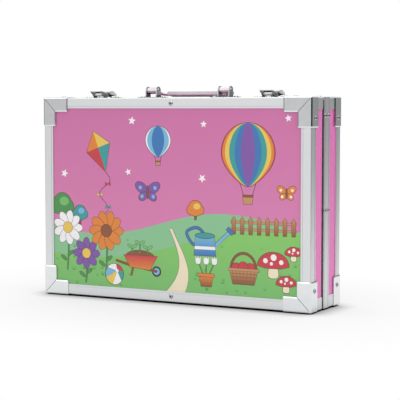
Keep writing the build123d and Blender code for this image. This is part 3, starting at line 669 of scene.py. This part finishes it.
def beach_ball(x, z, radius, turn):
    """A ball in six coloured gores that meet in a white spot."""
    core = (x + 0.3 * radius, z + 0.34 * radius)
    count = 36
    wide = count // 6
    rim = oval(x, z, radius, count=count)
    paint(rim, WHITE)
    for index, colour in enumerate((RED, WHITE, SKY, YELLOW, WHITE, TEAL)):
        first = index * wide + turn
        fill([core] + [rim[(first + step) % count] for step in range(wide + 1)], colour)
    fill(oval(*core, 0.16 * radius, count=14), WHITE)


def wheelbarrow(x, z, size):
    """A wheelbarrow heaped with earth and seedlings."""
    hub = (x + 1.5 * size, z + 0.42 * size)
    fill(oval(*hub, 0.42 * size, count=24), OUTLINE)
    fill(oval(*hub, 0.28 * size, count=20), SKY)
    fill(oval(*hub, 0.08 * size, count=10), OUTLINE)
    bar = [(x - 2.2 * size, z + 1.12 * size), (x - 0.9 * size, z + 0.8 * size), hub]
    paint(ribbon(bar, 0.16 * size), BROWN, LINE)
    paint(ribbon([(x - 0.6 * size, z + 0.8 * size), (x - 0.8 * size, z)], 0.16 * size), BROWN, LINE)
    paint(arch(x, z + 1.5 * size, 1.3 * size, 0.5 * size, 12), BROWN, LINE)
    for a, b in ((-0.7, 2.3), (0.0, 2.6), (0.7, 2.25)):
        stalk = [(x + a * size, z + 1.7 * size), (x + a * size, z + b * size)]
        paint(ribbon(stalk, 0.1 * size), GREEN_DEEP, FINE)
        for side in (-1, 1):
            leaf = oval(x + (a + 0.2 * side) * size, z + b * size, 0.26 * size, 0.12 * size, 0.5 * side, 12)
            paint(leaf, GREEN, FINE)
    tub = [
        (x - 0.9 * size, z + 0.66 * size), (x + 0.9 * size, z + 0.5 * size),
        (x + 1.6 * size, z + 1.6 * size), (x - 1.5 * size, z + 1.6 * size),
    ]
    paint(tub, RED, fade=ORANGE)


def wicker_basket(x, z, size):
    """A wicker basket of apples under an arched handle."""
    paint(ribbon(arch(x, z + size, 0.95 * size, 1.1 * size, 16), 0.15 * size), BROWN, LINE)
    for a, b in ((-0.55, 1.1), (0.5, 1.12), (-0.02, 1.2)):
        paint(oval(x + a * size, z + b * size, 0.36 * size, 0.33 * size, count=20), RED, LINE)
    paint(tapered(x, z, z + 0.95 * size, 0.8 * size, 1.08 * size), TAN, fade=BROWN)
    for row in range(1, 4):
        wide, high = (0.8 + 0.28 * row / 4) * size, z + 0.24 * row * size
        fill(ribbon([(x - wide, high), (x + wide, high)], 0.8), BROWN)
    for a in range(-3, 4):
        rod = [(x + 0.22 * a * size, z + 0.05 * size), (x + 0.29 * a * size, z + 0.95 * size)]
        fill(ribbon(rod, 0.6), BROWN)
    rim = [(x - 1.14 * size, z + 0.98 * size), (x + 1.14 * size, z + 0.98 * size)]
    paint(ribbon(rim, 0.16 * size), TAN, LINE)


def tuft(x, z, size):
    """Three blades of grass."""
    for lean in (-0.7, 0.0, 0.7):
        root, half = x + 0.3 * lean * size, 0.13 * size
        tip = (x + lean * size, z + size * (1.0 if lean else 1.3))
        fill([(root - half, z), (root + half, z), tip], GREEN_DEEP)


def star(x, z, radius, turn):
    """A white five-pointed star."""
    points = []
    for i in range(10):
        reach = 0.45 * radius if i % 2 else radius
        angle = turn + math.pi * i / 5
        points.append((x + reach * math.cos(angle), z + reach * math.sin(angle)))
    fill(points, WHITE)


def draw_garden():
    """The whole design, from back to front."""
    ground()
    tree(-172, 104, 22, 15, GREEN_DEEP, GREEN)
    tree(-143, 99, 16, 10, TEAL, SKY)
    tree(36, 112, 15, 10, ORANGE, YELLOW)
    path_way()
    picket_fence(92, 96, 8, 12)
    balloon(112, 200, 38, (RED, ORANGE, YELLOW, TEAL, BLUE, PURPLE))
    balloon(-20, 214, 19, (WHITE, SKY, BLUE))
    kite(-112, 200, 27, 0.35)
    for place in (
        (-60, 240, 6, 0.2), (46, 166, 6, 0.9), (168, 244, 5, 0.5),
        (-168, 168, 6, 0.0), (-66, 172, 5, 0.6), (48, 236, 5, 0.3),
    ):
        star(*place)
    butterfly(-36, 146, 13, PURPLE, SKY)
    butterfly(166, 150, 9, ORANGE, WHITE)
    seeds = random.Random(11)
    for _ in range(60):
        x, z = seeds.uniform(-186, 186), seeds.uniform(14, 80)
        if abs(x) > 34 or z > 72:
            tuft(x, z, seeds.uniform(3.0, 5.0))
    flower(-164, 36, 58, 22, 9, WHITE, YELLOW)
    flower(-134, 20, 40, 20, 8, PURPLE, YELLOW)
    flower(-102, 30, 62, 25, 10, ORANGE, BROWN)
    watering_can(50, 66)
    wheelbarrow(-48, 34, 17)
    beach_ball(-88, 34, 14, 2)
    flower_pot(52, 26, 15, WHITE)
    wicker_basket(106, 32, 19)
    for place in ((148, 44, 22), (166, 26, 14), (176, 66, 12)):
        mushroom(*place)


draw_garden()


def print_film():
    """The front board's film: one sheet cut along every shape's edge, each cell in its topmost ink."""
    points, shapes, spans = [], [], []
    for outline, _, _ in drawing:
        order = list(range(len(points), len(points) + len(outline)))
        shapes.append(order if facing(outline) > 0 else order[::-1])
        points += [
            Vector((min(max(x, -FILM_HALF), FILM_HALF), min(max(z, FILM_LOW), FILM_HIGH))) for x, z in outline
        ]
        heights = [z for _, z in outline]
        spans.append((max(min(heights), FILM_LOW), min(max(heights), FILM_HIGH)))
    verts, _, cells, _, _, owners = delaunay_2d_cdt(points, [], shapes, INSIDE_SHAPES, FILM_WELD, True)
    front = BOARD_DEPTH - CASE_DEPTH / 2 - FILM_THICKNESS
    piece = mesh_piece(
        "front_print_film", [(v.x, front, v.y) for v in verts], [tuple(c) for c in cells], PRINT,
        "front_case", rounded=False,
    )
    inks = piece.data.color_attributes.new("ink", "FLOAT_COLOR", "CORNER")
    for face in piece.data.polygons:
        top = max(owners[face.index], default=0)
        _, colour, fade = drawing[top]
        upper = linear(colour)
        lower = linear(fade) if fade else upper
        foot, head = spans[top]
        for corner in face.loop_indices:
            z = piece.data.vertices[piece.data.loops[corner].vertex_index].co.z / MM
            share = min(max((z - foot) / max(head - foot, 0.01), 0.0), 1.0)
            inks.data[corner].color = [a + (b - a) * share for a, b in zip(lower, upper)]
    # The film's back stays clear of the board by a fifth of its thickness
    thick = piece.modifiers.new("thickness", "SOLIDIFY")
    thick.thickness = 0.8 * FILM_THICKNESS * MM
    thick.offset = -1.0


print_film()


# Level directions from the case, and what mirrors them towards the photograph's camera.
# The faces that look right mirror this one
BEHIND_RIGHT = (0.479, 0.878, 0.0)

# The bends between front and right mirror these two, and so do the right sides of domes
RIGHT = (0.995, -0.1, 0.0)
FRONT_RIGHT = (0.6, -0.8, 0.0)

# The left end of the front mirrors this one in part, as satin metal spreads what it mirrors
FRONT_LEFT = (-0.899, -0.438, 0.0)

# The bends between front and left mirror this one
LEFT = (-0.95, 0.3, 0.0)

# The floor, in metres: its half size, and how far its wide and its narrow shade reach from the case
FLOOR_HALF = 3.0
WIDE_REACH = 0.32
NARROW_REACH = 0.03

# How dark the two are, and the power at which the wide one turns black under the case
WIDE_DEPTH = 0.34
NARROW_DEPTH = 0.8
BLACK_POWER = 6.0

# The share of white paper's light that the world gives to what isn't a mirror
WORLD_LEVEL = 0.6

# The middle of the case, at which the lamps are aimed, in metres
LAMP_AIM = Vector((0, 0, 0.13))

# The photograph's camera: its place and how far it sees in metres, its turn in degrees, and its lens and
# film in millimetres
CAMERA_PLACE = (0.8688, -1.5608, 0.2549)
CAMERA_SIGHT = 20.0
CAMERA_YAW = 28.585
CAMERA_PITCH = -3.872
CAMERA_LENS = 120.36
CAMERA_FILM = 36.0


def dimmed(tree, place, level, ways):
    """A level that falls off smoothly towards some directions.

    Each way has its direction, where along it the fall starts and ends, and the share that stays there.
    """
    for way, near, far, share in ways:
        aside = add(tree, "ShaderNodeVectorMath", {0: place, 1: way}, operation="DOT_PRODUCT")
        dim = add(tree, "ShaderNodeMapRange", {
            "Value": (aside, "Value"), "From Min": near, "From Max": far, "To Min": 1.0, "To Max": share,
        }, interpolation_type="SMOOTHSTEP")
        level = (add(tree, "ShaderNodeMath", {0: level, 1: (dim, "Result")}, operation="MULTIPLY"), "Value")
    return level


def hidden_share(tree, reach):
    """How much of the room above a spot something hides within a reach, from 0 to 1."""
    nook = add(tree, "ShaderNodeAmbientOcclusion", {"Distance": reach}, samples=16)
    return add(tree, "ShaderNodeMath", {0: 1.0, 1: (nook, "AO")}, operation="SUBTRACT")


def sweep_floor():
    """A white paper floor. The camera sees only the shade on it, so a shell that swings below it still shows.

    The shade is soft and wide round the case, black under it and narrow along its foot. Mirrors see the
    floor as white, with the same shade, and dimmer far to the sides.
    """
    mesh = bpy.data.meshes.new("studio_floor")
    corners = [
        (-FLOOR_HALF, -FLOOR_HALF, 0), (FLOOR_HALF, -FLOOR_HALF, 0),
        (FLOOR_HALF, FLOOR_HALF, 0), (-FLOOR_HALF, FLOOR_HALF, 0),
    ]
    mesh.from_pydata(corners, [], [(0, 1, 2, 3)])
    floor = bpy.data.objects.new("studio_floor", mesh)
    bpy.context.scene.collection.objects.link(floor)
    material, tree = new_material("paper_floor")
    path = add(tree, "ShaderNodeLightPath")
    side = add(tree, "ShaderNodeNewGeometry")
    above = add(tree, "ShaderNodeMath", {0: 1.0, 1: (side, "Backfacing")}, operation="SUBTRACT")
    wide = hidden_share(tree, WIDE_REACH)
    deep = add(tree, "ShaderNodeMath", {0: (wide, "Value"), 1: BLACK_POWER}, operation="POWER")
    soft = add(tree, "ShaderNodeMath", {
        0: (wide, "Value"), 1: WIDE_DEPTH, 2: (deep, "Value"),
    }, operation="MULTIPLY_ADD")
    narrow = hidden_share(tree, NARROW_REACH)
    both = add(tree, "ShaderNodeMath", {
        0: (narrow, "Value"), 1: NARROW_DEPTH, 2: (soft, "Value"),
    }, operation="MULTIPLY_ADD")
    shade = add(tree, "ShaderNodeMath", {
        0: (both, "Value"), 1: (above, "Value"),
    }, operation="MULTIPLY", use_clamp=True)
    lit = add(tree, "ShaderNodeMath", {0: 1.0, 1: (shade, "Value")}, operation="SUBTRACT")
    clear = add(tree, "ShaderNodeBsdfTransparent")
    dark = add(tree, "ShaderNodeEmission", {"Color": linear("#000000"), "Strength": 1.0})
    paper = add(tree, "ShaderNodeBsdfDiffuse", {"Color": linear("#F4F4F6")})
    mirrored = dimmed(tree, (side, "Position"), (lit, "Value"), (
        (RIGHT, 0.5, 1.3, 0.2), (BEHIND_RIGHT, 0.4, 1.2, 0.9), (LEFT, 0.5, 1.2, 0.2),
    ))
    white = add(tree, "ShaderNodeEmission", {"Color": linear("#FFFFFF"), "Strength": mirrored})
    seen = add(tree, "ShaderNodeMixShader", {0: (shade, "Value"), 1: (clear, "BSDF"), 2: (dark, "Emission")})
    below = add(tree, "ShaderNodeMath", {
        0: (path, "Is Shadow Ray"), 1: (side, "Backfacing"),
    }, operation="MULTIPLY")
    solid = add(tree, "ShaderNodeMixShader", {0: (below, "Value"), 1: (paper, "BSDF"), 2: (clear, "BSDF")})
    other = add(tree, "ShaderNodeMixShader", {
        0: (path, "Is Glossy Ray"), 1: (solid, "Shader"), 2: (white, "Emission"),
    })
    mix = add(tree, "ShaderNodeMixShader", {
        0: (path, "Is Camera Ray"), 1: (other, "Shader"), 2: (seen, "Shader"),
    })
    add(tree, "ShaderNodeOutputMaterial", {"Surface": (mix, "Shader")})
    mesh.materials.append(material)


def surround():
    """A white world. Mirrors see it dimmer near the horizon, and dark there to the right and the left."""
    world = bpy.data.worlds.new("studio")
    bpy.context.scene.world = world
    world.use_nodes = True
    tree = world.node_tree
    tree.nodes.clear()
    path = add(tree, "ShaderNodeLightPath")
    place = add(tree, "ShaderNodeTexCoord")
    parts = add(tree, "ShaderNodeSeparateXYZ", {"Vector": (place, "Generated")})
    level = add(tree, "ShaderNodeMapRange", {
        "Value": (parts, "Z"), "From Min": 0.02, "From Max": 0.45, "To Min": 0.65, "To Max": 1.0,
    }, interpolation_type="SMOOTHSTEP")
    sides = dimmed(tree, (place, "Generated"), (level, "Result"), (
        (BEHIND_RIGHT, 0.72, 0.93, 0.5), (RIGHT, 0.58, 0.7, 0.0), (FRONT_RIGHT, 0.66, 0.84, 0.0),
        (FRONT_LEFT, 0.88, 0.99, 0.5), (LEFT, 0.6, 0.85, 0.08),
    ))
    height = add(tree, "ShaderNodeMapRange", {
        "Value": (parts, "Z"), "From Min": 0.08, "From Max": 0.26,
    }, interpolation_type="SMOOTHSTEP")
    banded = add(tree, "ShaderNodeMix", {"Factor": (height, "Result"), "A": sides, "B": (level, "Result")})
    mirrored = add(tree, "ShaderNodeMix", {
        "Factor": (path, "Is Glossy Ray"), "A": WORLD_LEVEL, "B": (banded, MIXED_NUMBER),
    })
    soft = add(tree, "ShaderNodeBackground", {
        "Color": linear("#FFFFFF"), "Strength": (mirrored, MIXED_NUMBER),
    })
    plain = add(tree, "ShaderNodeBackground", {"Color": linear("#FFFFFF"), "Strength": 1.0})
    mix = add(tree, "ShaderNodeMixShader", {
        0: (path, "Is Camera Ray"), 1: (soft, "Background"), 2: (plain, "Background"),
    })
    add(tree, "ShaderNodeOutputWorld", {"Surface": (mix, "Shader")})


def soft_box(name, spot, size, power, mirrored=True):
    """A square lamp aimed at the middle of the case, in metres and watts, which bright metal may mirror."""
    lamp = bpy.data.lights.new(name, "AREA")
    lamp.size = size
    lamp.energy = power
    holder = bpy.data.objects.new(name, lamp)
    bpy.context.scene.collection.objects.link(holder)
    holder.location = spot
    holder.visible_glossy = mirrored
    holder.rotation_euler = (LAMP_AIM - Vector(spot)).to_track_quat("-Z", "Y").to_euler()


def set_camera():
    """The photograph's camera, in front of the case and to its right, just under the height of its top."""
    yaw, pitch = math.radians(CAMERA_YAW), math.radians(CAMERA_PITCH)
    right = Vector((math.cos(yaw), math.sin(yaw), 0))
    ahead = Vector((-math.sin(yaw) * math.cos(pitch), math.cos(yaw) * math.cos(pitch), math.sin(pitch)))
    turn = Matrix((right, right.cross(ahead), -ahead)).transposed().to_4x4()
    lens = bpy.data.cameras.new("camera")
    lens.sensor_width = CAMERA_FILM
    lens.lens = CAMERA_LENS
    lens.clip_end = CAMERA_SIGHT
    camera = bpy.data.objects.new("camera", lens)
    bpy.context.scene.collection.objects.link(camera)
    camera.matrix_world = Matrix.Translation(CAMERA_PLACE) @ turn
    bpy.context.scene.camera = camera


sweep_floor()
surround()
soft_box("overhead", (0.1, -0.1, 1.9), 1.5, 14.0)
soft_box("key", (-1.3, -1.9, 1.2), 1.4, 5.0)
soft_box("fill", (2.0, -0.5, 0.8), 1.2, 17.0, mirrored=False)
set_camera()
bpy.context.scene.view_settings.view_transform = "Standard"
